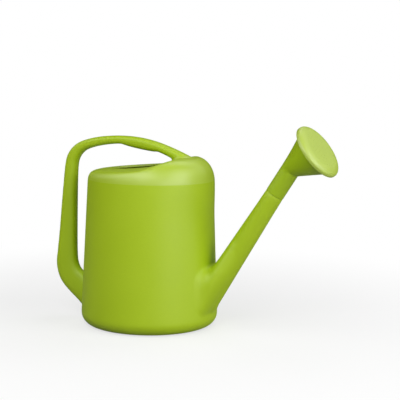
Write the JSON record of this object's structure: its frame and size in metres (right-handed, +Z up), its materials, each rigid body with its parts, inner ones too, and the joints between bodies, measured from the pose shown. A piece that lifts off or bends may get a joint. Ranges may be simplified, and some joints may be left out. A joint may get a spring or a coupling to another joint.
{
  "type": "watering can",
  "caption": "Round lime plastic watering can with a hooded filler mouth, a hollow looped handle, a long straight spout and a bent push-on rose that turns.",
  "frame": {"origin": "middle of the base, on the surface that the can stands on", "axes": "+X towards the spout, +Z up, +Y to the left of someone who pours"},
  "size_m": [0.5139, 0.2382, 0.3551],
  "materials": {
    "can_wall": "lime polyethylene, fine matt texture on the tank and satin above it",
    "seal": "smooth black rubber",
    "rose": "satin lime plastic",
    "rose_face": "satin lime plastic"
  },
  "bodies": {
    "can": {"tank": "can_wall", "hood": "can_wall", "handle": "can_wall", "spout": "can_wall"},
    "seal": {"rose_seal": "seal"},
    "rose": {"rose_funnel": "rose"},
    "face": {"rose_face": "rose_face"}
  },
  "joints": [
    {"name": "rose_pull", "type": "slide", "parent": "can", "child": "seal", "axis": [0.5314, 0, 0.8471], "range_m": [0, 0.05]},
    {"name": "rose_turn", "type": "hinge", "parent": "seal", "child": "rose", "pos_m": [0.11343, 0, 0.06], "axis": [0.5314, 0, 0.8471], "continuous": true},
    {"name": "face_pull", "type": "slide", "parent": "rose", "child": "face", "axis": [0.7965, -0.1204, 0.5925], "range_m": [0, 0.02]}
  ]
}
